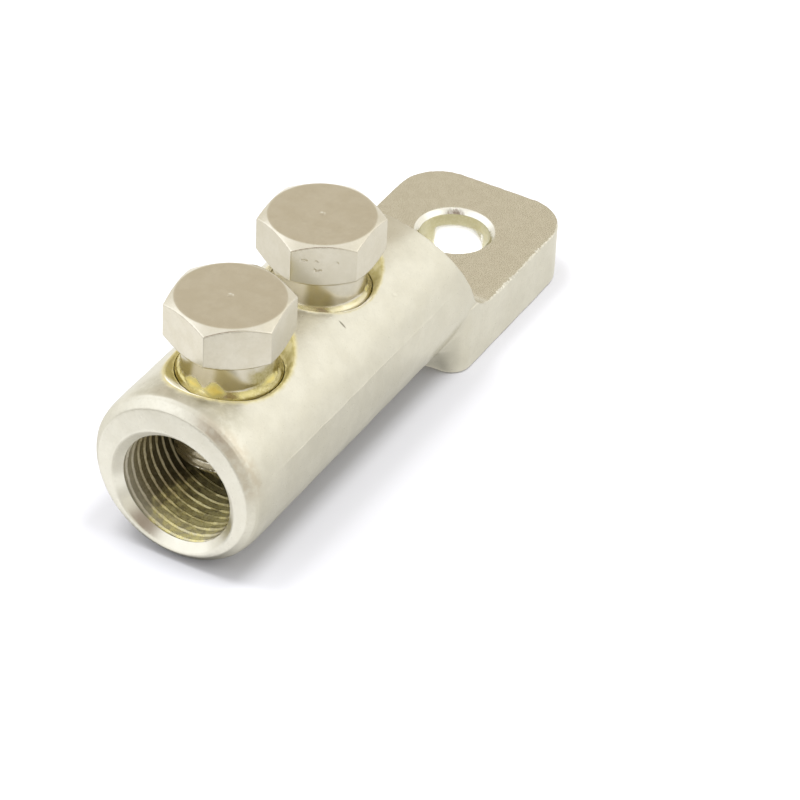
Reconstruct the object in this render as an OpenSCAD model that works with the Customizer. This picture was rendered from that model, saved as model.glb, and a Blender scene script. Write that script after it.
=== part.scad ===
// Mechanical cable lug with two shear-head bolts.
// Millimetres. The origin is the centre of the palm hole on the contact face,
// +X runs along the barrel from the cable mouth to the palm's free end,
// +Z points from the contact face to the bolt heads.

/* [Barrel] */
// Outer diameter of the barrel
barrel_d = 32; // [31.8:0.1:33]
// Distance from the cable mouth to the centre of the palm hole
mouth_to_hole = 94.9; // [92:0.1:110]
// Bevel of the outer edge at the mouth, at 45 degrees
mouth_bevel = 1.35; // [0.8:0.05:1.8]
// Depth of the soft round behind the bevel, on the radius
mouth_round = 0.45; // [0.2:0.05:0.6]
// Length of that soft round along the barrel
mouth_round_len = 2.85; // [1.5:0.05:4]
// Gap between the barrel's lowest line and the contact plane
barrel_lift = 0.05; // [0.02:0.01:0.3]

/* [Cable bore] */
// Diameter of the bore at the crests of its grooves
bore_d = 20.6; // [18:0.1:21]
// Height of the bore's axis above the contact plane
bore_axis_z = 14; // [13.5:0.1:14.5]
// Depth of the full bore from the mouth
bore_depth = 60; // [57:0.5:62]
// Chamfer of the bore at the mouth
mouth_chamfer = 1.4; // [0.5:0.1:1.8]
// Length of the plain land behind the chamfer
land_len = 2; // [1.6:0.1:4]
// How far the grooved stretch is bored out past the crests
groove_relief = 0.3; // [0.2:0.05:0.5]

/* [Bolt holes] */
// Distance from the mouth to the front bolt's axis
front_bolt_x = 17.3; // [15:0.1:20]
// Distance between the two bolts' axes
bolt_pitch = 28.8; // [25:0.1:30]
// Diameter of the bolt holes at the crests of their threads
bolt_hole_d = 18; // [17:0.1:18.4]
// Height above the contact plane where the countersink meets the hole
countersink_z = 28.2; // [27.5:0.1:29.5]

/* [Palm] */
// Width of the palm
palm_w = 31.8; // [29:0.1:31.9]
// Thickness of the palm
palm_t = 11; // [9:0.1:12]
// Distance from the centre of the palm hole to the free end
palm_end = 16.8; // [14:0.1:24]
// Radius of the two corners at the free end
palm_corner_r = 8.6; // [4:0.1:12]
// Diameter of the palm hole
palm_hole_d = 13; // [11:0.1:15]
// Chamfer of the palm hole on the milled face
palm_hole_chamfer = 0.9; // [0.5:0.1:1.5]
// Edge break of the palm hole on the contact face
palm_hole_break = 0.3; // [0.1:0.05:0.4]
// Distance from the mouth to the front of the palm's block
palm_start = 69.1; // [67:0.1:72]
// Radius of the two corners of the block beside the barrel
block_corner_r = 4; // [2:0.1:5]
// Radius of the fillet between the barrel and the block
block_fillet_r = 3; // [1:0.1:3.5]

/* [Shoulder] */
// Lean of the barrel's rear shoulder from the vertical, in degrees
shoulder_lean = 24.3; // [15:0.1:30]
// Distance from the mouth to the foot of the shoulder
shoulder_foot = 74.9; // [74:0.1:78]
// Radius of the fillet at the foot of the shoulder
shoulder_fillet_r = 5; // [2:0.1:6]

/* [Shear bolts] */
// Width of the hexagon head across its flats
head_af = 19; // [17:0.1:19.5]
// Height of the hexagon head
head_h = 8.1; // [6:0.1:10]
// Radius of the flat circle on top of the head
head_top_r = 9; // [8.2:0.05:9.3]
// Length of the smooth neck between the head and the thread
neck_len = 5.8; // [4:0.1:7]
// Diameter of the smooth neck
neck_d = 16; // [13:0.1:16.5]
// Length of the threaded shank
shank_len = 16.9; // [15:0.1:19]
// Gap between the shank and its hole, on the radius
thread_gap = 0.05; // [0.02:0.01:0.09]
// Height of the front bolt's head top above the contact plane
front_head_top = 43.25; // [43:0.05:44]
// Height of the rear bolt's head top above the contact plane
rear_head_top = 42.6; // [42.4:0.05:44]
// Turn of the front bolt's hexagon, in degrees
front_head_turn = 8.8; // [0:0.1:59]
// Turn of the rear bolt's hexagon, in degrees
rear_head_turn = 2.7; // [0:0.1:59]

/* [Hidden] */
$fn = 96;
mouth_x = -mouth_to_hole;
barrel_r = barrel_d / 2;
barrel_z = barrel_r + barrel_lift;
barrel_len = shoulder_foot + 6;
bore_r = bore_d / 2;
relief_r = bore_r + groove_relief;
drill_point = relief_r * tan(31);
hole_r = bolt_hole_d / 2;
shank_r = hole_r - thread_gap;
block_x = mouth_x + palm_start;
half_w = palm_w / 2;
tin = [0.80, 0.78, 0.72];

// A solid of revolution about a line along +X through [mouth_x, 0, z]
module along_x(z) {
  translate([mouth_x, 0, z]) rotate([0, 90, 0]) rotate_extrude() children();
}

// Round barrel, bevelled at the mouth with a soft round behind the bevel
module barrel() {
  b = mouth_bevel;
  edge_r = barrel_r - mouth_round;
  soft = [for (t = [0:0.2:1]) [barrel_r - mouth_round * (1 - t) * (1 - t), b + mouth_round_len * t]];
  along_x(barrel_z) polygon(concat([[0, 0], [edge_r - b, 0]], soft, [[barrel_r, barrel_len], [0, barrel_len]]));
}

// Outline of the palm and its block, seen from above
module palm_outline() {
  c = block_corner_r;
  e = palm_corner_r;
  translate([block_x + c, -half_w]) square([palm_end - e - block_x - c, palm_w]);
  translate([block_x, c - half_w]) square([c + 1, palm_w - 2 * c]);
  translate([palm_end - e - 1, e - half_w]) square([e + 1, palm_w - 2 * e]);
  for (s = [-1, 1]) {
    translate([block_x + c, s * (half_w - c)]) circle(c);
    translate([palm_end - e, s * (half_w - e)]) circle(e);
  }
}

// Concave fillet where the block's front face rises out of the round barrel
module block_fillet() {
  f = block_fillet_r;
  bite = 0.15;
  intersection() {
    along_x(barrel_z) difference() {
      translate([barrel_r - 1, palm_start - f]) square([f + 1 - 2 * bite, f + 1]);
      translate([barrel_r + f - bite, palm_start - f + bite]) circle(f);
    }
    translate([block_x - f - 0.2, 3.1 - half_w, 0.2]) cube([f + 1.5, palm_w - 6.2, 8]);
  }
}

// Space behind the leaning rear shoulder and above the palm, seen from the side
module shoulder_cut() {
  kx = mouth_x + shoulder_foot;
  up = 24;
  r = shoulder_fillet_r;
  d = r / tan((90 + shoulder_lean) / 2);
  far = palm_end - kx + 5;
  tx = -sin(shoulder_lean);
  tz = cos(shoulder_lean);
  translate([0, barrel_d, 0]) rotate([90, 0, 0]) linear_extrude(2 * barrel_d)
    translate([kx, palm_t]) difference() {
      polygon([[0, 0], [far, 0], [far, up], [tx * up / tz, up]]);
      difference() {
        polygon([[0, 0], [d, 0], [d, r], [d * tx, d * tz]]);
        translate([d, r]) circle(r);
      }
    }
}

// Blind cable bore: chamfer, plain land, grooved stretch and drill point
module cable_bore() {
  along_x(bore_axis_z) polygon([
    [0, -1], [bore_r + mouth_chamfer + 1, -1], [bore_r, mouth_chamfer],
    [bore_r, mouth_chamfer + land_len], [relief_r, mouth_chamfer + land_len],
    [relief_r, bore_depth], [0, bore_depth + drill_point]
  ]);
}

// Countersunk bolt hole, from the bore up through the crown
module bolt_hole(x) {
  top = barrel_z + barrel_r + 2;
  translate([mouth_x + x, 0, 0]) rotate_extrude() polygon([
    [0, bore_axis_z], [hole_r, bore_axis_z], [hole_r, countersink_z],
    [hole_r + top - countersink_z, top], [0, top]
  ]);
}

// Palm hole, chamfered on the milled face and broken on the contact face
module palm_hole() {
  r = palm_hole_d / 2;
  c = palm_hole_chamfer;
  b = palm_hole_break;
  rotate_extrude() polygon([
    [0, -1], [r + b + 1, -1], [r, b], [r, palm_t - c], [r + c + 1, palm_t + 1], [0, palm_t + 1]
  ]);
}

// One-piece body: barrel, palm, bore, bolt holes and palm hole
module lug_body() {
  color(tin) difference() {
    union() {
      barrel();
      linear_extrude(palm_t) palm_outline();
      block_fillet();
    }
    shoulder_cut();
    cable_bore();
    bolt_hole(front_bolt_x);
    bolt_hole(front_bolt_x + bolt_pitch);
    palm_hole();
  }
}

// Shear bolt hanging down from the top of its head at z = 0
module shear_bolt(turn) {
  corner_r = head_af / sqrt(3);
  under = -head_h;
  seat = under - neck_len;
  tip = seat - shank_len;
  neck_r = neck_d / 2;
  intersection() {
    rotate([0, 0, turn]) translate([0, 0, under]) cylinder(h = head_h, r = corner_r, $fn = 6);
    rotate_extrude() polygon([
      [0, under - 1], [head_top_r + 0.4 - 1.73, under - 1], [corner_r + 1, under + (corner_r + 0.6 - head_top_r) * 0.577],
      [corner_r + 1, -(corner_r + 1 - head_top_r) * 0.577], [head_top_r, 0], [0, 0]
    ]);
  }
  rotate_extrude() polygon([
    [0, under + 1], [neck_r, under + 1], [neck_r, seat + shank_r - neck_r - 0.5],
    [shank_r, seat - 0.5], [shank_r, tip + 1], [shank_r - 1, tip], [0, tip]
  ]);
}

// Bolt nearer the cable mouth
module front_shear_bolt() {
  color(tin) translate([mouth_x + front_bolt_x, 0, front_head_top]) shear_bolt(front_head_turn);
}

// Bolt nearer the palm
module rear_shear_bolt() {
  color(tin) translate([mouth_x + front_bolt_x + bolt_pitch, 0, rear_head_top]) shear_bolt(rear_head_turn);
}

lug_body();
front_shear_bolt();
rear_shear_bolt();
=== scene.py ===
import math

import bpy
import numpy as np
from mathutils import Matrix, Vector


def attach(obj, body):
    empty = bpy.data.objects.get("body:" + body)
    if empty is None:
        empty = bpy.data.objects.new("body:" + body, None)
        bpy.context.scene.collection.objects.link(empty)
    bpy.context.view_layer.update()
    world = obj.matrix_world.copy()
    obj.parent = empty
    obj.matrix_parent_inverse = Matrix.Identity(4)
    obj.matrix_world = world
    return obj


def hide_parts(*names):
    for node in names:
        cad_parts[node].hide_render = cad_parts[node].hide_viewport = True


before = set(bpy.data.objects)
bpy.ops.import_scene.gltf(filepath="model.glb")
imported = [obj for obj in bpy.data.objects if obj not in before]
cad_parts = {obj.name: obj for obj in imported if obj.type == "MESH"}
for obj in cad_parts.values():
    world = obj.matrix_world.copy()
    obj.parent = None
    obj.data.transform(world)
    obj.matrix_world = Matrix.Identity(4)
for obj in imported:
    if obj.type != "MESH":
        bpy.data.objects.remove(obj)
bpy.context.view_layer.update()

SCENE = bpy.context.scene

# All shapes below are in millimetres in the part's own frame. Meshes are scaled to metres.
MM = 0.001
MOUTH = -94.9
BARREL_Z, BARREL_R = 16.05, 16.0
BORE_Z, BORE_R, BORE_DEPTH, BORE_PITCH = 14.0, 10.3, 60.0, 1.8
PALM_T, PALM_HALF, PALM_FRONT, PALM_END = 11.0, 15.9, -25.8, 16.8
FRONT_X, REAR_X = MOUTH + 17.3, MOUTH + 46.1
HOLE_R, SINK_Z = 9.0, 28.2
LEAN, FOOT_X = math.radians(24.3), MOUTH + 74.9
FRONT_TOP, REAR_TOP = 43.25, 42.6
HEAD_H, NECK_LEN, SHANK_LEN, NECK_R = 8.1, 5.8, 16.9, 8.0
SEAT = -HEAD_H - NECK_LEN
TIP = SEAT - SHANK_LEN


# ---------------------------------------------------------------- distance fields

def rmax(a, b, r):
    """Intersection with a convex edge of radius r."""
    return np.minimum(-r, np.maximum(a, b)) + np.hypot(np.maximum(a + r, 0), np.maximum(b + r, 0))


def rmin(a, b, r):
    """Union with a concave fillet of radius r."""
    return np.maximum(r, np.minimum(a, b)) - np.hypot(np.maximum(r - a, 0), np.maximum(r - b, 0))


def step(v, lo, hi):
    t = np.clip((v - lo) / (hi - lo), 0, 1)
    return t * t * (3 - 2 * t)


def wave_set(count, shortest, longest, seed):
    rng = np.random.default_rng(seed)
    d = rng.normal(size=(count, 3))
    d /= np.linalg.norm(d, axis=1)[:, None]
    lam = np.exp(rng.uniform(math.log(shortest), math.log(longest), count))
    amp = lam / lam.max()
    amp /= math.sqrt((amp ** 2).sum() / 2)
    return d * (2 * math.pi / lam)[:, None], rng.uniform(0, 2 * math.pi, count), amp


def waves(x, y, z, w):
    out = np.zeros(np.broadcast(x, y, z).shape)
    for k, ph, a in zip(*w):
        out += a * np.sin(k[0] * x + k[1] * y + k[2] * z + ph)
    return out


CAST = wave_set(12, 3.0, 11.0, 5)
RAGGED = wave_set(9, 0.5, 1.9, 11)
SMEAR = wave_set(10, 0.7, 2.6, 23)


def capsule(x, y, z, a, b, r):
    a, b = np.array(a, float), np.array(b, float)
    d = b - a
    px, py, pz = x - a[0], y - a[1], z - a[2]
    t = np.clip((px * d[0] + py * d[1] + pz * d[2]) / (d @ d), 0, 1)
    return np.sqrt((px - t * d[0]) ** 2 + (py - t * d[1]) ** 2 + (pz - t * d[2]) ** 2) - r


def palm_outline(x, y):
    """Plan of the palm and its block: small corners beside the barrel, large ones at the free end."""
    mid = (PALM_FRONT + PALM_END) / 2
    c = np.where(x < mid, 4.0, 8.6)
    qx = np.abs(x - mid) - (PALM_END - PALM_FRONT) / 2 + c
    qy = np.abs(y) - PALM_HALF + c
    return np.hypot(np.maximum(qx, 0), np.maximum(qy, 0)) + np.minimum(np.maximum(qx, qy), 0) - c


def milled_keep(x, z):
    """What the cutter left: below the palm's face or in front of the leaning shoulder."""
    shoulder = (x - FOOT_X) * math.cos(LEAN) + (z - PALM_T) * math.sin(LEAN)
    return rmin(shoulder, z - PALM_T, 5.0)


def bore_hole(x, y, z):
    xf = x - MOUTH
    r = np.hypot(y, z - BORE_Z)
    turn = np.arctan2(z - BORE_Z, y) / (2 * math.pi)
    off = ((xf / BORE_PITCH - turn) % 1.0 - 0.5) * BORE_PITCH
    wider = 0.25 * step(xf, 24, 27)
    groove = np.clip((np.abs(off) - 0.05) / np.where(off < 0, 0.24 + wider, 0.20 + wider), 0, 1)
    # grease lies in the grooves here and there, mostly along the floor near the mouth
    smear = step(waves(x, y, z, CAST) - 0.35 * (z - BORE_Z + 7.5), 0.4, 2.2) * (1 - step(xf, 14, 22))
    groove = groove * (1 - 0.6 * smear)
    wall = BORE_R - 0.05 + 0.26 * groove * step(xf, 1.5, 1.9) * (1 - step(xf, 58.5, 59.6))
    wall = np.where(xf > BORE_DEPTH, 10.3 - (xf - BORE_DEPTH) / math.tan(math.radians(31)), wall)
    plain = (r - wall) * 0.55
    sink = (r - (BORE_R + 1.4 - xf)) * 0.7071
    return np.minimum(plain, sink), sink


def bolt_hole(x, y, z, cx):
    r = np.hypot(x - cx, y)
    hole = np.maximum(r - HOLE_R, BORE_Z - z)
    return np.minimum(hole, (r - HOLE_R - (z - SINK_Z)) * 0.7071)


def palm_hole(x, y, z):
    r = np.hypot(x, y)
    hole = np.minimum(r - 6.5, (r - 6.5 - (z - PALM_T + 0.9)) * 0.7071)
    return np.minimum(hole, (r - 6.8 + z) * 0.7071)


NICKS = [
    ((-57.52, -9.35, 29.35), (-57.42, -9.85, 29.01), 0.3),
    ((-43.6, -11.5, 27.45), (-43.0, -11.9, 27.1), 0.36),
    ((-66.2, -6.7, 30.85), (-66.0, -6.9, 30.8), 0.34),
    ((-30.2, 9.1, 29.6), (-29.7, 9.5, 29.3), 0.4),
    ((-70.5, 15.6, 13.4), (-69.6, 15.7, 13.0), 0.36),
]


def body_field(x, y, z):
    xf = x - MOUTH
    zb = z - BARREL_Z
    ay = np.abs(y)
    rough = waves(x, y, z, CAST)
    phi = np.degrees(np.arctan2(zb, ay))
    s = np.clip((14.4 - phi) / 45.0, 0, 1)
    band = 6.75 * s * (1 - s) ** 2 * step(xf, 5, 16) * (1 - step(xf, 58, 70))
    barrel = np.hypot(y, zb) - BARREL_R + 0.04 + 0.3 * band + 0.018 * rough
    barrel = barrel + 0.45 * np.clip((4.2 - xf) / 2.85, 0, 1) ** 2
    barrel = rmax(barrel, (np.hypot(y, zb) - 14.17 - xf) * 0.7071, 0.3)
    barrel = rmax(barrel, 0.035 - xf, 0.12)
    barrel = np.maximum(barrel, xf - 80.9)
    side = palm_outline(x, y) + 0.05 + 0.014 * rough
    block = np.maximum(rmax(side, -z, 0.55), z - 13.2)
    flank = np.sqrt(np.maximum(BARREL_R ** 2 - zb ** 2, 0))
    body = rmin(barrel, block, np.clip(0.9 * (PALM_HALF - flank), 0.5, 3.6))
    body = rmax(body, 0.006 - z, 0.3)
    ragged = waves(x, y, z, RAGGED)
    keep = milled_keep(x, z)
    worn = step(-y, 13.8, 15.0) * (1 - step(z, 11.3, 12.0)) * np.clip(0.34 + 0.13 * ragged, 0.12, 0.7)
    body = rmax(body, keep, np.clip(0.2 + 0.04 * ragged, 0.08, 0.4))
    body = np.maximum(body, np.where((x > -24) & (z < 12.5) & (y < 0), (side + keep + worn) * 0.7071, -9.0))
    bore, sink = bore_hole(x, y, z)
    body = rmax(body, -bore, np.where(xf < 2.2, 0.22, 0.02))
    for cx in (FRONT_X, REAR_X):
        body = rmax(body, -bolt_hole(x, y, z, cx), np.where(z > 27.0, 0.3, 0.02))
    r = np.hypot(x - FRONT_X, y)
    fill = np.maximum(9.07 - r, z - 28.5 - 0.05 * ragged)
    fill = np.maximum(np.maximum(fill, r - 9.9), SINK_Z - 0.6 - z)
    body = rmin(body, fill, 0.15)
    body = rmax(body, -palm_hole(x, y, z), 0.12)
    for a, b, r in NICKS:
        body = rmax(body, -capsule(x, y, z, a, b, r), 0.05)
    return body


def hexagon(x, y, r):
    """Exact distance to a hexagon with apothem r and flats square to y."""
    kx, ky, kz = -0.8660254, 0.5, 0.577350269
    px, py = np.abs(x), np.abs(y)
    d = 2 * np.minimum(kx * px + ky * py, 0)
    px, py = px - d * kx, py - d * ky
    qx = px - np.clip(px, -kz * r, kz * r)
    qy = py - r
    return np.hypot(qx, qy) * np.sign(qy)


def grease_fillet(x, y, z, lumps):
    """Jointing grease in the corner between neck and shoulder, thicker at each (angle, half-span, height, reach)."""
    r = np.hypot(x, y)
    ang = np.degrees(np.arctan2(y, x))
    bumps = waves(x, y, z, SMEAR)
    high = 0.05 + 0.02 * np.sin(np.radians(3 * ang + 40))
    wide = 0.16 + 0.04 * np.sin(np.radians(2 * ang + 100))
    for at, span, tall, reach in lumps:
        near = np.exp(-(((ang - at + 180) % 360 - 180) / span) ** 2)
        high = high + tall * near
        wide = wide + reach * near
    lean = ((r - NECK_R) * (high + wide) + (z - SEAT - 0.43 - high) * wide) / np.hypot(high + wide, wide)
    return np.maximum(lean + 0.03 * bumps, r - 8.85)


def bolt_field(turn, phase, pits, lumps, edge):
    """A bolt hanging from z = 0 at the top of its head: the field with its grease, and the bare metal's."""
    c, s = math.cos(math.radians(turn)), math.sin(math.radians(turn))

    def bare(x, y, z):
        u, v = c * x + s * y, -s * x + c * y
        r = np.hypot(x, y)
        head = hexagon(u, v, 9.5 - edge) - edge + 0.01
        head = rmax(head, (r - 9.0) * 0.5 + z * 0.8660254, 0.14)
        head = rmax(head, (r - 9.4) * 0.5 + (-HEAD_H - z) * 0.8660254, 0.22)
        head = rmax(head, z + 0.005, 0.16)
        head = rmax(head, -HEAD_H - z, 0.16)
        head = np.maximum(head, -(np.sqrt(x * x + y * y + (z - 0.85) ** 2) - 1.0))
        neck = np.maximum(r - NECK_R, np.maximum(z + HEAD_H - 1.0, SEAT - 1.0 - z))
        body = rmin(head, neck, 0.4)
        ph = (z / 1.5 - np.arctan2(y, x) / (2 * math.pi) + phase) % 1.0
        groove = np.clip(1.25 - np.abs(ph - 0.5) * 2.75, 0, 1)
        depth = 0.88 * np.maximum(step(z, TIP + 0.2, TIP + 1.6), 0.4) * step(SEAT - z, 1.3, 2.4)
        shank = (r - 8.93 + depth * groove) * 0.72
        shank = rmax(shank, ((r - 8.93 + 0.5) + (z - SEAT)) * 0.7071, 0.3)
        shank = rmax(shank, ((r - 8.93 + 1.1) - (z - TIP)) * 0.7071, 0.12)
        shank = np.maximum(shank, TIP - z)
        body = rmin(body, shank, 0.35)
        for a, b, rr in pits:
            body = rmax(body, -capsule(x, y, z, a, b, rr), 0.04)
        return body

    def field(x, y, z):
        body = bare(x, y, z)
        near = (z < SEAT + 4) & (z > SEAT - 1)
        return rmin(body, np.where(near, grease_fillet(x, y, z, lumps), 9.0), 0.15)

    return field, bare


# ---------------------------------------------------------------- meshing

def gradient(field, p, e):
    x, y, z = p.T
    g = np.stack([
        field(x + e, y, z) - field(x - e, y, z),
        field(x, y + e, z) - field(x, y - e, z),
        field(x, y, z + e) - field(x, y, z - e),
    ], 1)
    n = np.linalg.norm(g, axis=1)
    return g / np.maximum(n, 1e-12)[:, None], n / (2 * e)


def ticks(lo, hi, h, fine=None):
    """Grid lines from lo to hi, h apart, closer between fine[0] and fine[1]."""
    if fine is None:
        return np.linspace(lo, hi, math.ceil((hi - lo) / h) + 1)
    a, b, g = fine
    return np.concatenate([ticks(lo, a, h)[:-1], ticks(a, b, g), ticks(b, hi, h)[1:]])


def contour(field, ax):
    """Dual contouring: a vertex in each cell the surface crosses, placed on the planes through its crossings."""
    n = np.array([len(a) for a in ax])
    d = np.empty(n)
    for i in range(0, n[0], 24):
        x, y, z = np.meshgrid(ax[0][i:i + 24], ax[1], ax[2], indexing="ij")
        d[i:i + 24] = field(x, y, z)
    inside = d < 0
    cells_n = n - 1
    eye = np.eye(3, dtype=int)
    points, normals, cells, quads = [], [], [], []
    for k in range(3):
        u, v = (k + 1) % 3, (k + 2) % 3
        a = np.take(inside, np.arange(n[k] - 1), axis=k)
        b = np.take(inside, np.arange(1, n[k]), axis=k)
        idx = np.argwhere(a != b)
        start = a[tuple(idx.T)]
        d0 = d[tuple(idx.T)]
        d1 = d[tuple((idx + eye[k]).T)]
        t0, t1 = np.zeros(len(idx)), np.ones(len(idx))
        f0, f1 = d0.copy(), d1.copy()
        base = np.stack([ax[i][idx[:, i]] for i in range(3)], 1)
        h = ax[k][idx[:, k] + 1] - ax[k][idx[:, k]]
        for _ in range(5):
            t = np.clip(t0 + (t1 - t0) * f0 / (f0 - f1), t0 + 0.02 * (t1 - t0), t1 - 0.02 * (t1 - t0))
            p = base + (h * t)[:, None] * eye[k]
            f = field(*p.T)
            left = (f < 0) == (f0 < 0)
            t0, f0 = np.where(left, t, t0), np.where(left, f, f0)
            t1, f1 = np.where(left, t1, t), np.where(left, f1, f)
        t = t0 + (t1 - t0) * f0 / (f0 - f1)
        p = base + (h * t)[:, None] * eye[k]
        g, _ = gradient(field, p, 0.004)
        ring = [idx - eye[u] - eye[v], idx - eye[v], idx, idx - eye[u]]
        ids = [(c[:, 0] * cells_n[1] + c[:, 1]) * cells_n[2] + c[:, 2] for c in ring]
        for c in ids:
            points.append(p)
            normals.append(g)
            cells.append(c)
        q = np.stack(ids, 1)
        quads.append(np.where(start[:, None], q, q[:, ::-1]))
    points, normals, cells = np.concatenate(points), np.concatenate(normals), np.concatenate(cells)
    quads = np.concatenate(quads)
    ids, where = np.unique(cells, return_inverse=True)
    m = len(ids)
    count = np.bincount(where, minlength=m)
    mean = np.stack([np.bincount(where, points[:, i], m) for i in range(3)], 1) / count[:, None]
    off = ((points - mean[where]) * normals).sum(1)
    ata = np.empty((m, 3, 3))
    for i in range(3):
        for j in range(i, 3):
            ata[:, i, j] = ata[:, j, i] = np.bincount(where, normals[:, i] * normals[:, j], m)
    atb = np.stack([np.bincount(where, normals[:, i] * off, m) for i in range(3)], 1)
    ata += 0.03 * np.eye(3)
    verts = mean + np.linalg.solve(ata, atb[:, :, None])[:, :, 0]
    cell = np.stack([ids // (cells_n[1] * cells_n[2]), (ids // cells_n[2]) % cells_n[1], ids % cells_n[2]], 1)
    low = np.stack([ax[i][cell[:, i]] for i in range(3)], 1)
    size = np.stack([ax[i][cell[:, i] + 1] for i in range(3)], 1) - low
    verts = np.clip(verts, low - 0.05 * size, low + 1.05 * size)
    return verts, np.searchsorted(ids, quads)


def add_object(name, verts, faces):
    mesh = bpy.data.meshes.new(name)
    mesh.from_pydata((verts * MM).tolist(), [], faces.tolist())
    mesh.validate()
    ob = bpy.data.objects.new(name, mesh)
    SCENE.collection.objects.link(ob)
    return ob


def thin_out(ob, triangles):
    mod = ob.modifiers.new("thin", "TRIANGULATE")
    mod.quad_method = "SHORTEST_DIAGONAL"
    have = 2 * len(ob.data.polygons)
    if have > triangles:
        dec = ob.modifiers.new("decimate", "DECIMATE")
        dec.ratio = triangles / have
    dg = bpy.context.evaluated_depsgraph_get()
    mesh = bpy.data.meshes.new_from_object(ob.evaluated_get(dg))
    ob.modifiers.clear()
    old, name = ob.data, ob.data.name
    ob.data = mesh
    bpy.data.meshes.remove(old)
    mesh.name = name


def true_normals(ob, field, shift=(0, 0, 0)):
    """Corner normals from the distance field, kept apart at sharp edges."""
    mesh = ob.data
    nv, nf, nl = len(mesh.vertices), len(mesh.polygons), len(mesh.loops)
    co = np.empty(nv * 3)
    mesh.vertices.foreach_get("co", co)
    co = co.reshape(-1, 3) / MM - np.array(shift)
    lv = np.empty(nl, np.int32)
    mesh.loops.foreach_get("vertex_index", lv)
    tri = lv.reshape(-1, 3)
    a, b, c = co[tri[:, 0]], co[tri[:, 1]], co[tri[:, 2]]
    fn = np.cross(b - a, c - a)
    fn /= np.maximum(np.linalg.norm(fn, axis=1), 1e-12)[:, None]
    mid = (a + b + c) / 3
    gv, _ = gradient(field, co, 0.02)
    out = gv[tri]
    ok = (out * fn[:, None, :]).sum(2)
    longest = np.max([np.linalg.norm(a - b, axis=1), np.linalg.norm(b - c, axis=1), np.linalg.norm(c - a, axis=1)], axis=0)
    limit = np.where(longest > 1.5, math.cos(math.radians(3)), math.cos(math.radians(14)))
    f, k = np.nonzero(ok < limit[:, None])
    if len(f):
        p = co[tri[f, k]] * 0.6 + mid[f] * 0.4
        g, _ = gradient(field, p, 0.01)
        bad = (g * fn[f]).sum(1) < math.cos(math.radians(38))
        g[bad] = fn[f][bad]
        out[f, k] = g
    for p in mesh.polygons:
        p.use_smooth = True
    mesh.normals_split_custom_set(out.reshape(-1, 3))
    return co


def point_mask(ob, name, values):
    at = ob.data.attributes.new(name, "FLOAT", "POINT")
    at.data.foreach_set("value", np.asarray(values, np.float32))


# ---------------------------------------------------------------- node helpers

class Tree:
    def __init__(self, name):
        self.mat = bpy.data.materials.new(name)
        self.mat.use_nodes = True
        self.nt = self.mat.node_tree
        self.nt.nodes.clear()
        self.out = self.nt.nodes.new("ShaderNodeOutputMaterial")

    def node(self, kind, **props):
        n = self.nt.nodes.new(kind)
        for k, v in props.items():
            setattr(n, k, v)
        return n

    def put(self, socket, value):
        if isinstance(value, bpy.types.NodeSocket):
            self.nt.links.new(value, socket)
        elif value is not None:
            socket.default_value = value

    def math(self, op, a, b=None, c=None, clamp=False):
        n = self.node("ShaderNodeMath", operation=op, use_clamp=clamp)
        for i, v in enumerate((a, b, c)):
            self.put(n.inputs[i], v)
        return n.outputs[0]

    def ramp(self, v, lo, hi, a=0.0, b=1.0, smooth=True):
        n = self.node("ShaderNodeMapRange", interpolation_type="SMOOTHSTEP" if smooth else "LINEAR", clamp=True)
        for i, x in enumerate((v, lo, hi, a, b)):
            self.put(n.inputs[i], x)
        return n.outputs[0]

    def mix(self, f, a, b, kind="RGBA", blend="MIX"):
        n = self.node("ShaderNodeMix", data_type=kind)
        if kind == "RGBA":
            n.blend_type = blend
            self.put(n.inputs[0], f)
            for s, v in ((n.inputs[6], a), (n.inputs[7], b)):
                self.put(s, (*v, 1.0) if isinstance(v, tuple) and len(v) == 3 else v)
            return n.outputs[2]
        self.put(n.inputs[0], f)
        self.put(n.inputs[2], a)
        self.put(n.inputs[3], b)
        return n.outputs[0]

    def hypot(self, a, b):
        return self.math("SQRT", self.math("ADD", self.math("MULTIPLY", a, a), self.math("MULTIPLY", b, b)))

    def noise(self, vec, scale, detail=2.0, rough=0.5):
        n = self.node("ShaderNodeTexNoise")
        self.put(n.inputs["Vector"], vec)
        n.inputs["Scale"].default_value = scale
        n.inputs["Detail"].default_value = detail
        n.inputs["Roughness"].default_value = rough
        return n.outputs["Fac"]

    def cells(self, vec, scale):
        n = self.node("ShaderNodeTexVoronoi", feature="F1")
        self.put(n.inputs["Vector"], vec)
        n.inputs["Scale"].default_value = scale
        return n.outputs["Distance"]

    def coords(self):
        """Object coordinates in millimetres, whole and split."""
        tc = self.node("ShaderNodeTexCoord")
        sc = self.node("ShaderNodeVectorMath", operation="SCALE")
        self.put(sc.inputs[0], tc.outputs["Object"])
        sc.inputs["Scale"].default_value = 1000.0
        sep = self.node("ShaderNodeSeparateXYZ")
        self.put(sep.inputs[0], sc.outputs[0])
        return sc.outputs[0], sep.outputs[0], sep.outputs[1], sep.outputs[2]

    def attr(self, name):
        return self.node("ShaderNodeAttribute", attribute_name=name).outputs["Fac"]

    def bump(self, height, strength, distance, normal=None):
        n = self.node("ShaderNodeBump")
        n.inputs["Strength"].default_value = strength
        n.inputs["Distance"].default_value = distance
        self.put(n.inputs["Height"], height)
        if normal is not None:
            self.put(n.inputs["Normal"], normal)
        return n.outputs["Normal"]

    def principled(self, **inputs):
        n = self.node("ShaderNodeBsdfPrincipled")
        for k, v in inputs.items():
            s = n.inputs[k.replace("_", " ")]
            self.put(s, (*v, 1.0) if isinstance(v, tuple) and len(v) == 3 and s.type == "RGBA" else v)
        self.nt.links.new(n.outputs[0], self.out.inputs[0])
        return n


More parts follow.
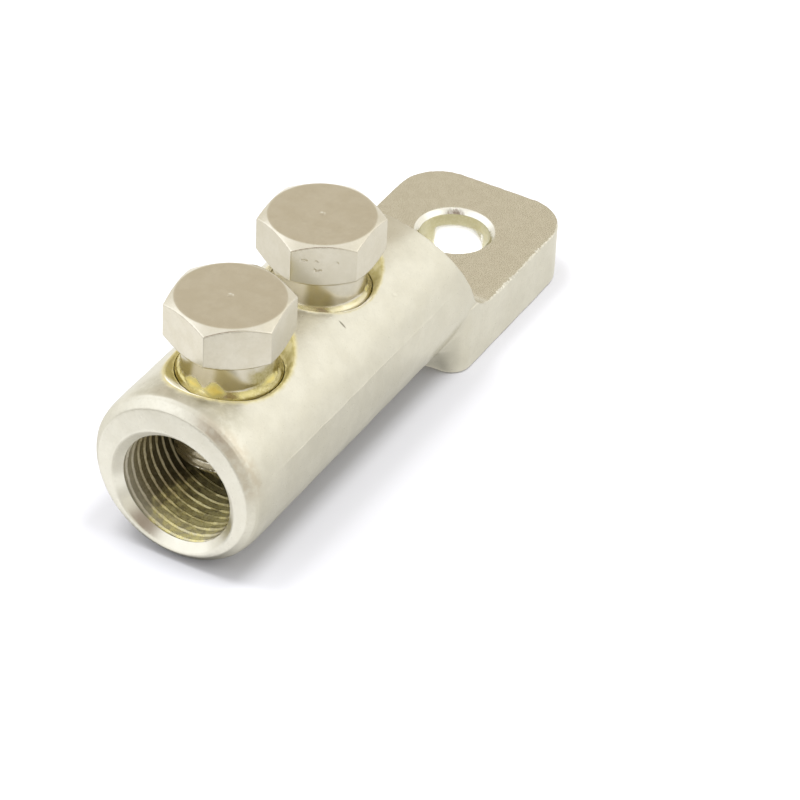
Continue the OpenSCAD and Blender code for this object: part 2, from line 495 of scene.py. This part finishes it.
def cast_tin():
    t = Tree("cast_tin")
    vec, x, y, z = t.coords()
    grain = t.noise(vec, 2.3, 4.0, 0.62)
    fine = t.noise(vec, 6.0, 3.0, 0.6)
    cloud = t.noise(vec, 0.22, 3.0, 0.55)
    blot = t.noise(vec, 0.75, 3.0, 0.55)
    # the milled faces: the palm, the leaning shoulder and the fillet between them
    flat = t.math("SUBTRACT", z, PALM_T)
    lean = t.math("MULTIPLY", t.math("SUBTRACT", x, FOOT_X), math.cos(LEAN))
    lean = t.math("ADD", lean, t.math("MULTIPLY", flat, math.sin(LEAN)))
    corner = [t.math("MAXIMUM", t.math("SUBTRACT", 5.0, v), 0.0) for v in (lean, flat)]
    keep = t.math("SUBTRACT", t.math("MAXIMUM", t.math("MINIMUM", lean, flat), 5.0), t.hypot(*corner))
    milled = t.math("MULTIPLY", t.ramp(t.math("ABSOLUTE", keep), 0.06, 0.03), t.ramp(x, -32.0, -31.5))
    base = t.mix(t.ramp(cloud, 0.35, 0.68), (0.605, 0.582, 0.495), (0.64, 0.618, 0.533))
    base = t.mix(t.ramp(grain, 0.56, 0.76, 0.0, 0.3), base, (0.45, 0.42, 0.34))
    base = t.mix(t.ramp(t.noise(vec, 0.5, 4.0, 0.65), 0.42, 0.62, 0.0, 0.16), base, (0.50, 0.485, 0.42))
    cut = t.mix(t.ramp(blot, 0.36, 0.64), (0.608, 0.582, 0.488), (0.652, 0.628, 0.536))
    base = t.mix(milled, base, cut)
    rough = t.mix(milled, t.ramp(grain, 0.25, 0.8, 0.27, 0.36), t.ramp(fine, 0.3, 0.7, 0.25, 0.31), "FLOAT")
    # the grooved bore, browner than the skin, with grease gathered along its floor near the mouth
    up = t.math("SUBTRACT", z, BORE_Z)
    rad = t.hypot(y, up)
    bored = t.math("MULTIPLY", t.ramp(x, MOUTH + 1.4, MOUTH + 1.7), t.ramp(rad, 11.5, 11.3))
    bored = t.math("MULTIPLY", bored, t.ramp(x, -27.4, -28.2))
    brown = t.mix(t.ramp(grain, 0.4, 0.65), (0.25, 0.21, 0.11), (0.36, 0.315, 0.19))
    # painted shade: the bore's colour darkens further in from the mouth
    brown = t.mix(t.ramp(x, MOUTH + 7, MOUTH + 18), brown, (0.17, 0.142, 0.078))
    pool = t.math("ADD", up, t.math("MULTIPLY", blot, 5.0))
    pool = t.math("MULTIPLY", t.ramp(pool, -4.8, -7.2), t.ramp(x, MOUTH + 26, MOUTH + 10))
    pool = t.math("MULTIPLY", pool, t.ramp(t.noise(vec, 0.8, 3.0, 0.6), 0.3, 0.6, 0.45, 1.0))
    brown = t.mix(pool, brown, t.mix(t.ramp(fine, 0.4, 0.6), (0.64, 0.565, 0.20), (0.84, 0.78, 0.44)))
    # painted light: the first few millimetres inside the mouth keep half the skin colour, as if lit
    base = t.mix(t.math("MULTIPLY", bored, t.math("MAXIMUM", pool, t.ramp(x, MOUTH + 2.0, MOUTH + 7.0, 0.5, 1.0))), base, brown)
    rough = t.mix(bored, rough, 0.3, "FLOAT")
    # the drilled wall of the palm hole
    drilled = t.math("MULTIPLY", t.ramp(t.hypot(x, y), 7.5, 7.4), t.ramp(x, -8.0, -7.5))
    drilled = t.math("MULTIPLY", drilled, t.ramp(z, PALM_T - 0.02, PALM_T - 0.10))
    # olive near the face; low on the wall away from the mouth, a pale, smoother patch of painted light, as if lit from
    # the floor under the hole
    wall = t.mix(t.ramp(grain, 0.4, 0.65), (0.52, 0.485, 0.31), (0.58, 0.545, 0.37))
    painted_light_far_wall = t.math("ADD", t.math("MULTIPLY", x, 0.884), t.math("MULTIPLY", y, 0.467))
    across = t.math("SUBTRACT", t.math("MULTIPLY", y, 0.884), t.math("MULTIPLY", x, 0.467))
    across = t.math("MULTIPLY", t.ramp(across, 3.9, 3.0), t.ramp(across, -5.6, -5.0))
    painted_light_far_wall = t.math("MULTIPLY", t.math("MULTIPLY", t.ramp(z, 8.0, 7.3), t.ramp(painted_light_far_wall, 1.6, 2.4)), across)
    # painted light: the pale patch low on the far wall of the hole
    wall = t.mix(painted_light_far_wall, wall, (0.78, 0.77, 0.75))
    wall = t.mix(t.ramp(z, 10.0, 10.1), wall, (0.66, 0.64, 0.57))
    base = t.mix(drilled, base, wall)
    bright = t.math("MAXIMUM", painted_light_far_wall, t.ramp(z, 10.0, 10.1))
    dull = t.math("MULTIPLY", drilled, t.math("SUBTRACT", 1.0, bright))
    rough = t.mix(drilled, rough, t.math("SUBTRACT", t.ramp(z, 10.0, 10.1, 0.26, 0.32), t.math("MULTIPLY", bright, 0.14)), "FLOAT")
    # the turned chamfer of the bore
    turned = t.math("MULTIPLY", t.ramp(rad, 11.75, 11.65), t.ramp(x, MOUTH + 1.6, MOUTH + 1.45))
    rough = t.mix(turned, rough, t.ramp(up, 1.0, -3.0, 0.55, 0.28), "FLOAT")
    # the cast bevel around the mouth is duller than the rest
    outer = t.hypot(y, t.math("SUBTRACT", z, BARREL_Z))
    skin = t.math("MULTIPLY", t.ramp(x, MOUTH + 1.9, MOUTH + 1.3), t.ramp(outer, 14.1, 14.3))
    rough = t.mix(skin, rough, t.ramp(grain, 0.3, 0.7, 0.38, 0.50), "FLOAT")
    # painted reflection: a mottled brown patch on the upper right of the bevel, where it reflects dark surroundings
    tan = t.math("MULTIPLY", t.math("MULTIPLY", t.ramp(x, MOUTH + 4.0, MOUTH + 2.0), t.ramp(outer, 14.0, 14.5)), t.ramp(y, -3.0, -6.0))
    tan = t.math("MULTIPLY", t.math("MULTIPLY", tan, t.ramp(z, 17.0, 21.0)), t.ramp(blot, 0.32, 0.6, 0.2, 0.75))
    base = t.mix(tan, base, (0.50, 0.445, 0.345))
    # a film of jointing grease in and just around the countersinks
    film = None
    oil_and_painted_light = None
    for cx, thin, spread in ((FRONT_X, (0.47, 0.40, 0.13), 1.35), (REAR_X, (0.66, 0.61, 0.43), 0.95)):
        along = t.math("SUBTRACT", x, cx)
        far = t.hypot(along, y)
        rim = t.math("SUBTRACT", t.math("SUBTRACT", far, z), HOLE_R - SINK_Z)
        inner = t.ramp(rim, 0.3, 0.12)
        rim = t.math("ADD", rim, t.math("MULTIPLY", t.math("SUBTRACT", blot, 0.5), 1.0))
        f = t.math("MULTIPLY", t.ramp(rim, spread, -0.2), t.ramp(z, 24.5, 26.0))
        # thickest on the side away from the mouth and towards -Y
        side = t.math("DIVIDE", t.math("SUBTRACT", t.math("MULTIPLY", along, 0.5), t.math("MULTIPLY", y, 0.866)), far)
        side = t.ramp(side, 0.1, 0.6)
        tint = t.mix(t.ramp(blot, 0.38, 0.62), (0.44, 0.38, 0.13), (0.60, 0.53, 0.23))
        tint = t.mix(side, thin, tint)
        # painted light and shade: the wall towards the mouth is pale where light would reach it and dark olive where
        # the bolt's head would shade it
        ahead = t.math("ADD", t.math("MULTIPLY", along, -0.884), t.math("MULTIPLY", y, -0.467))
        aside = t.math("DIVIDE", t.math("SUBTRACT", t.math("MULTIPLY", y, 0.884), t.math("MULTIPLY", along, 0.467)), far)
        wiped_film_and_painted_light = t.ramp(aside, 0.2, 0.45)
        if cx == REAR_X:
            wiped_film_and_painted_light = t.math("MAXIMUM", wiped_film_and_painted_light, t.ramp(aside, -0.26, -0.5))
        wiped_film_and_painted_light = t.mix(wiped_film_and_painted_light, (0.46, 0.40, 0.20), (0.91, 0.88, 0.79))
        lo, hi = (0.42, 0.62) if cx == FRONT_X else (0.25, 0.5)
        tint = t.mix(t.math("MULTIPLY", inner, t.ramp(t.math("DIVIDE", ahead, far), lo, hi)), tint, wiped_film_and_painted_light)
        oil_and_painted_light = tint if oil_and_painted_light is None else t.mix(t.ramp(x, REAR_X - 14.5, REAR_X - 14.3), oil_and_painted_light, tint)
        f = t.math("MAXIMUM", f, t.math("MULTIPLY", t.ramp(far, 9.3, 9.1), t.ramp(z, 22.0, 24.0)))
        film = f if film is None else t.math("MAXIMUM", film, f)
    stain = t.math("MULTIPLY", t.ramp(x, MOUTH + 9.5, MOUTH + 6.0), t.ramp(x, MOUTH + 1.6, MOUTH + 2.6))
    stain = t.math("MULTIPLY", stain, t.math("MULTIPLY", t.ramp(z, 27.5, 30.0), t.ramp(blot, 0.3, 0.6, 0.15, 0.6)))
    base = t.mix(stain, base, (0.47, 0.45, 0.36))
    # a dark, rougher mark painted along the first nick
    dash = t.hypot(t.math("ADD", t.math("MULTIPLY", y, -1.13), -10.85), t.math("ADD", t.math("MULTIPLY", z, -0.71), 20.7))
    dash = t.ramp(t.hypot(dash, t.math("MULTIPLY", t.math("ADD", x, 57.47), 4.5)), 1.1, 0.6, 0.0, 0.8)
    base = t.mix(dash, base, (0.22, 0.20, 0.15))
    rough = t.mix(dash, rough, 0.6, "FLOAT")
    # grease colour over the film, with the painted light and shade on the walls towards the mouth
    base = t.mix(t.math("MULTIPLY", film, 0.92), base, oil_and_painted_light)
    rough = t.mix(film, rough, 0.32, "FLOAT")
    metal = t.math("SUBTRACT", 1.0, t.math("MAXIMUM", t.math("MULTIPLY", film, 0.8), t.math("MULTIPLY", bored, 0.45)))
    metal = t.math("SUBTRACT", metal, t.math("MULTIPLY", dull, 0.75))
    metal = t.math("SUBTRACT", metal, t.math("MULTIPLY", t.math("MULTIPLY", bored, pool), 0.45))
    pale = t.math("MULTIPLY", t.math("MULTIPLY", bored, t.math("SUBTRACT", 1.0, pool)), t.math("MULTIPLY", t.ramp(x, MOUTH + 10, MOUTH + 3), t.ramp(y, 3.0, 8.0)))
    metal = t.math("SUBTRACT", metal, t.math("MULTIPLY", pale, 0.4))
    metal = t.math("SUBTRACT", metal, t.math("MULTIPLY", turned, t.ramp(up, -2.0, 1.0, 0.0, 0.55)))
    height = t.math("ADD", grain, t.math("MULTIPLY", t.noise(vec, 0.9, 2.0), 0.8))
    slope = t.math("ARCTAN2", t.math("SUBTRACT", z, BARREL_Z), t.math("ABSOLUTE", y))
    slope = t.math("ADD", slope, t.math("MULTIPLY", t.math("SUBTRACT", cloud, 0.5), 0.03))
    seam = t.ramp(t.math("ABSOLUTE", t.math("SUBTRACT", slope, 0.262)), 0.016, 0.004)
    seam = t.math("MULTIPLY", seam, t.math("MULTIPLY", t.ramp(x, MOUTH + 7, MOUTH + 13), t.ramp(x, MOUTH + 70, MOUTH + 58)))
    height = t.math("ADD", height, t.math("MULTIPLY", seam, 2.2))
    plain = t.math("MAXIMUM", t.math("MAXIMUM", t.math("MULTIPLY", milled, 0.92), turned), t.math("MAXIMUM", bored, drilled))
    height = t.math("MULTIPLY", height, t.math("SUBTRACT", 1.0, plain))
    n = t.bump(height, 0.32, 0.00007)
    t.principled(Base_Color=base, Metallic=metal, Roughness=rough, Normal=n)
    return t.mat


def bolt_tin(name, cx, top):
    t = Tree(name)
    vec, x, y, z = t.coords()
    grain = t.noise(vec, 3.0, 4.0, 0.6)
    cloud = t.noise(vec, 0.3, 3.0, 0.55)
    blot = t.noise(vec, 0.6, 3.0, 0.55)
    grease = t.attr("grease")
    base = t.mix(t.ramp(cloud, 0.35, 0.68), (0.600, 0.562, 0.465), (0.63, 0.595, 0.505))
    base = t.mix(t.ramp(grain, 0.62, 0.82, 0.0, 0.22), base, (0.46, 0.42, 0.34))
    base = t.mix(t.ramp(t.noise(vec, 1.1, 4.0, 0.65), 0.45, 0.65, 0.0, 0.12), base, (0.50, 0.47, 0.40))
    low = t.math("MULTIPLY", t.ramp(z, top + SEAT + 0.6, top + SEAT + 0.35), t.ramp(z, top + SEAT - 4.5, top + SEAT - 2.0))
    low = t.math("MULTIPLY", low, t.ramp(blot, 0.30, 0.55, 0.45, 0.95))
    base = t.mix(low if cx == FRONT_X else t.math("MULTIPLY", low, 0.5), base, (0.56, 0.49, 0.21))
    if cx == FRONT_X:
        # a wiped film that reaches up the neck on its -Y side
        far = t.hypot(t.math("SUBTRACT", x, cx), y)
        wiped_film_and_painted_light = t.ramp(t.math("DIVIDE", t.math("MULTIPLY", y, -1.0), far), 0.72, 0.93)
        climb = t.math("ADD", z, t.math("MULTIPLY", t.math("SUBTRACT", blot, 0.5), 3.0))
        wiped_film_and_painted_light = t.math("MULTIPLY", wiped_film_and_painted_light, t.ramp(climb, top + SEAT + 5.0, top + SEAT + 2.6))
        wiped_film_and_painted_light = t.math("MULTIPLY", wiped_film_and_painted_light, t.ramp(z, top + SEAT - 2.0, top + SEAT))
        base = t.mix(wiped_film_and_painted_light, base, t.mix(t.ramp(grain, 0.4, 0.62), (0.36, 0.31, 0.13), (0.46, 0.41, 0.22)))
    thick = t.ramp(t.math("ADD", grease, t.math("MULTIPLY", t.math("SUBTRACT", grain, 0.5), 0.25)), 0.03, 0.42)
    cover = t.ramp(grease, 0.0, 0.10)
    base = t.mix(cover, base, t.mix(thick, (0.55, 0.49, 0.20), (0.74, 0.60, 0.16)))
    rough = t.mix(cover, t.ramp(grain, 0.25, 0.8, 0.19, 0.25), 0.36, "FLOAT")
    metal = t.math("SUBTRACT", 1.0, t.math("MULTIPLY", cover, 0.9))
    n = t.bump(grain, 0.08, 0.00004)
    t.principled(Base_Color=base, Metallic=metal, Roughness=rough, Normal=n)
    return t.mat


def floor_paint():
    """White paper: the eye sees plain paper with its shadows; for every other ray it glows, with painted shade under
    the barrel and painted brighter zones ahead of the mouth and towards +Y, and the metal reflects that glow.
    """
    t = Tree("floor_paper")
    vec, x, y, z = t.coords()
    seen = t.node("ShaderNodeLightPath").outputs["Is Camera Ray"]
    tone = t.noise(vec, 0.02, 2.0)
    soft = t.mix(tone, (0.125, 0.125, 0.125), (0.135, 0.135, 0.135))
    paper = t.mix(tone, (0.545, 0.55, 0.585), (0.565, 0.57, 0.605))
    # painted shade in the glow: none in a strip under the barrel, rising outwards; full in front of the mouth and
    # beside the palm
    wide = t.math("ABSOLUTE", y)
    open_air = t.math("ADD", t.ramp(wide, 5.5, 18.0, 0.0, 0.80), t.ramp(wide, 18.0, 62.0, 0.0, 0.20))
    open_air = t.math("MAXIMUM", open_air, t.ramp(x, MOUTH + 1.0, MOUTH - 8.0))
    open_air = t.math("MAXIMUM", open_air, t.ramp(x, -30.0, -24.0))
    # painted light: a brighter glow ahead of the mouth
    ahead = t.math("MULTIPLY", t.ramp(x, MOUTH + 8.0, MOUTH - 4.0), t.ramp(x, MOUTH - 42.0, MOUTH - 28.0))
    ahead = t.math("MULTIPLY", ahead, t.ramp(t.math("ABSOLUTE", t.math("SUBTRACT", y, 8.0)), 28.0, 46.0, 1.0, 0.38))
    glow = t.math("MULTIPLY", open_air, t.math("ADD", t.ramp(x, -34.0, -26.0, 0.71, 0.78), t.math("MULTIPLY", ahead, 0.41)))
    # painted light and shade: the glow is dimmer far in front of the mouth and stronger towards +Y
    glow = t.math("MULTIPLY", glow, t.ramp(x, MOUTH - 48.0, MOUTH - 26.0, 0.62, 1.0))
    glow = t.math("MULTIPLY", glow, t.ramp(y, 25.0, 45.0, 1.0, 1.14))
    glow = t.math("MULTIPLY", t.math("SUBTRACT", 1.0, seen), glow)
    warm = t.mix(ahead, (1.0, 0.985, 0.93), (0.995, 1.0, 1.02))
    t.principled(Base_Color=t.mix(seen, soft, paper), Roughness=0.9, Emission_Color=warm, Emission_Strength=glow)
    return t.mat


# ---------------------------------------------------------------- camera

def place_camera():
    az, el, roll = math.radians(27.854), math.radians(37.382), math.radians(3.131)
    dist, focal, cx, cy = 598.314, 3476.4, 328.964, 340.061
    f = np.array([math.cos(el) * math.cos(az), math.cos(el) * math.sin(az), -math.sin(el)])
    r = np.array([math.sin(az), -math.cos(az), 0.0])
    u = np.cross(r, f)
    r2 = math.cos(roll) * r + math.sin(roll) * u
    u2 = -math.sin(roll) * r + math.cos(roll) * u
    d = f + r2 * (cx - 400) / focal - u2 * (cy - 400) / focal
    target = np.array([50.0 + MOUTH, 0.0, BORE_Z])
    eye = target - dist * d / np.linalg.norm(d)
    data = bpy.data.cameras.new("camera")
    data.sensor_width = 36.0
    data.lens = focal * 36.0 / 800.0
    data.clip_start, data.clip_end = 0.01, 20.0
    cam = bpy.data.objects.new("camera", data)
    m = Matrix.Identity(4)
    for i in range(3):
        m[i][0], m[i][1], m[i][2], m[i][3] = r2[i], u2[i], -f[i], eye[i] * MM
    cam.matrix_world = m
    SCENE.collection.objects.link(cam)
    SCENE.camera = cam
    return eye * MM


EYE = place_camera()


# ---------------------------------------------------------------- pieces

def make_body():
    ax = [ticks(-95.63, 17.32, 0.3, (MOUTH + 1.13, MOUTH + 25.6, 0.13)), ticks(-16.617, 16.6, 0.3), ticks(-0.711, 32.8, 0.3)]
    verts, quads = contour(body_field, ax)
    ob = add_object("body_shell", verts, quads)
    thin_out(ob, 190000)
    true_normals(ob, body_field)
    ob.data.materials.append(cast_tin())
    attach(ob, "body")
    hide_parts("lug_body")
    return ob


def make_bolt(name, body, node, cx, top, turn, phase, pits, lumps, edge):
    field, bare = bolt_field(turn, phase, pits, lumps, edge)
    verts, quads = contour(field, [ticks(-11.414, 11.4, 0.21), ticks(-11.417, 11.4, 0.21), ticks(TIP - 0.411, 0.5, 0.21)])
    ob = add_object(name, verts + np.array([cx, 0, top]), quads)
    thin_out(ob, 120000)
    co = true_normals(ob, field, (cx, 0, top))
    near = (co[:, 2] < SEAT + 4) & (co[:, 2] > SEAT - 0.6)
    point_mask(ob, "grease", np.clip(bare(*co.T), 0, 1) * near)
    ob.data.materials.append(bolt_tin(name + "_tin", cx, top))
    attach(ob, body)
    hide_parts(node)
    return ob


make_body()
FRONT_LUMPS = [(163, 8, 1.0, 0.3), (172, 5, 0.5, 0.3), (193, 8, 1.5, 0.55), (202, 6, 0.5, 0.4), (268, 12, 1.1, 0.3), (60, 22, 0.9, 0.3)]
REAR_LUMPS = [(285, 8, 0.4, 0.15), (135, 14, 0.5, 0.3), (20, 16, 0.9, 0.3)]
REAR_PITS = []
for px, py, pz, qx, qy, qz, pr in (
        (-58.75, -2.1, 39.75, -58.35, -2.75, 39.65, 0.17), (-57.6, -3.9, 39.55, -57.3, -4.4, 39.4, 0.14),
        (-57.55, -3.95, 37.75, -57.5, -4.05, 37.5, 0.22), (-57.3, -4.3, 37.65, -57.0, -4.8, 37.7, 0.13),
        (-55.6, -7.0, 39.3, -55.5, -7.15, 39.15, 0.15)):
    nx, ny = 0.84 * 0.06, 0.54 * 0.06
    REAR_PITS.append(((px - REAR_X - nx, py - ny, pz - REAR_TOP), (qx - REAR_X - nx, qy - ny, qz - REAR_TOP), pr))
make_bolt("front_bolt_shell", "front_bolt", "front_shear_bolt", FRONT_X, FRONT_TOP, 8.8, 0.15, [], FRONT_LUMPS, 0.2)
make_bolt("rear_bolt_shell", "rear_bolt", "rear_shear_bolt", REAR_X, REAR_TOP, 2.7, 0.6, REAR_PITS, REAR_LUMPS, 0.1)


# ---------------------------------------------------------------- stage

def make_floor():
    n, half = 8, 2.5
    verts = [((i / n * 2 - 1) * half, (j / n * 2 - 1) * half, -0.00002) for j in range(n + 1) for i in range(n + 1)]
    faces = [(j * (n + 1) + i, j * (n + 1) + i + 1, (j + 1) * (n + 1) + i + 1, (j + 1) * (n + 1) + i)
             for j in range(n) for i in range(n)]
    mesh = bpy.data.meshes.new("floor")
    mesh.from_pydata(verts, [], faces)
    ob = bpy.data.objects.new("floor", mesh)
    SCENE.collection.objects.link(ob)
    mesh.materials.append(floor_paint())


def toward(azimuth, elevation):
    a, e = math.radians(azimuth), math.radians(elevation)
    return Vector((math.cos(e) * math.cos(a), math.cos(e) * math.sin(a), math.sin(e)))


def studio(base, lobes):
    """Soft studio surroundings: an even tone, then broad panels (azimuth, elevation, inner, outer, colour) over it."""
    world = bpy.data.worlds.new("studio")
    world.use_nodes = True
    nt = world.node_tree
    nt.nodes.clear()
    out = nt.nodes.new("ShaderNodeOutputWorld")
    bg = nt.nodes.new("ShaderNodeBackground")
    nt.links.new(bg.outputs[0], out.inputs[0])
    way = nt.nodes.new("ShaderNodeTexCoord").outputs["Generated"]
    tone = (*base, 1.0)
    for azimuth, elevation, inner, outer, colour in lobes:
        dot = nt.nodes.new("ShaderNodeVectorMath")
        dot.operation = "DOT_PRODUCT"
        nt.links.new(way, dot.inputs[0])
        dot.inputs[1].default_value = toward(azimuth, elevation)
        ramp = nt.nodes.new("ShaderNodeMapRange")
        ramp.interpolation_type = "SMOOTHSTEP"
        nt.links.new(dot.outputs["Value"], ramp.inputs[0])
        ramp.inputs[1].default_value = math.cos(math.radians(outer))
        ramp.inputs[2].default_value = math.cos(math.radians(inner))
        mix = nt.nodes.new("ShaderNodeMix")
        mix.data_type = "RGBA"
        nt.links.new(ramp.outputs[0], mix.inputs[0])
        if isinstance(tone, tuple):
            mix.inputs[6].default_value = tone
        else:
            nt.links.new(tone, mix.inputs[6])
        mix.inputs[7].default_value = (*colour, 1.0)
        tone = mix.outputs[2]
    nt.links.new(tone, bg.inputs[0])
    SCENE.world = world


def overhead(name, azimuth, elevation, distance, size, radiance):
    """A large diffuser that lights the floor, kept out of the metal's reflections."""
    data = bpy.data.lights.new(name, "AREA")
    data.shape = "RECTANGLE"
    data.size = data.size_y = size
    data.energy = radiance * math.pi * size * size
    ob = bpy.data.objects.new(name, data)
    ob.location = Vector((-0.035, 0.0, 0.0)) + toward(azimuth, elevation) * distance
    ob.rotation_mode = "QUATERNION"
    ob.rotation_quaternion = toward(azimuth, elevation).to_track_quat("Z", "Y")
    ob.visible_glossy = False
    SCENE.collection.objects.link(ob)


def hole_light(watts):
    """Narrow light straight down through the palm hole, so that the floor under it is as white as the rest."""
    data = bpy.data.lights.new("hole_light", "SPOT")
    data.energy = watts
    data.color = (0.95, 0.97, 1.0)
    data.spot_size = math.radians(0.88)
    data.spot_blend = 0.15
    data.shadow_soft_size = 0.002
    ob = bpy.data.objects.new("hole_light", data)
    ob.location = (0.0013, 0.0007, 0.53)
    SCENE.collection.objects.link(ob)


make_floor()
AWAY = 27.85
studio((1.17, 1.15, 1.08), [
    (AWAY + 100, 40, 25, 62, (1.72, 1.74, 1.78)),
    (AWAY - 70, 34, 16, 45, (1.40, 1.38, 1.31)),
    (AWAY - 108, 40, 12, 32, (1.85, 1.85, 1.82)),
    (AWAY + 180, 86, 15, 42, (1.29, 1.28, 1.25)),
    (AWAY, 40, 22, 40, (0.85, 0.78, 0.655)),
    (AWAY + 180, 38, 14, 27, (0.40, 0.315, 0.26)),
])
overhead("overhead_left", AWAY + 80, 70, 1.2, 0.5, 11.5)
overhead("overhead_right", AWAY - 100, 78, 1.2, 0.36, 21.5)
hole_light(130.0)
SCENE.view_settings.view_transform = "Standard"
SCENE.view_settings.look = "None"
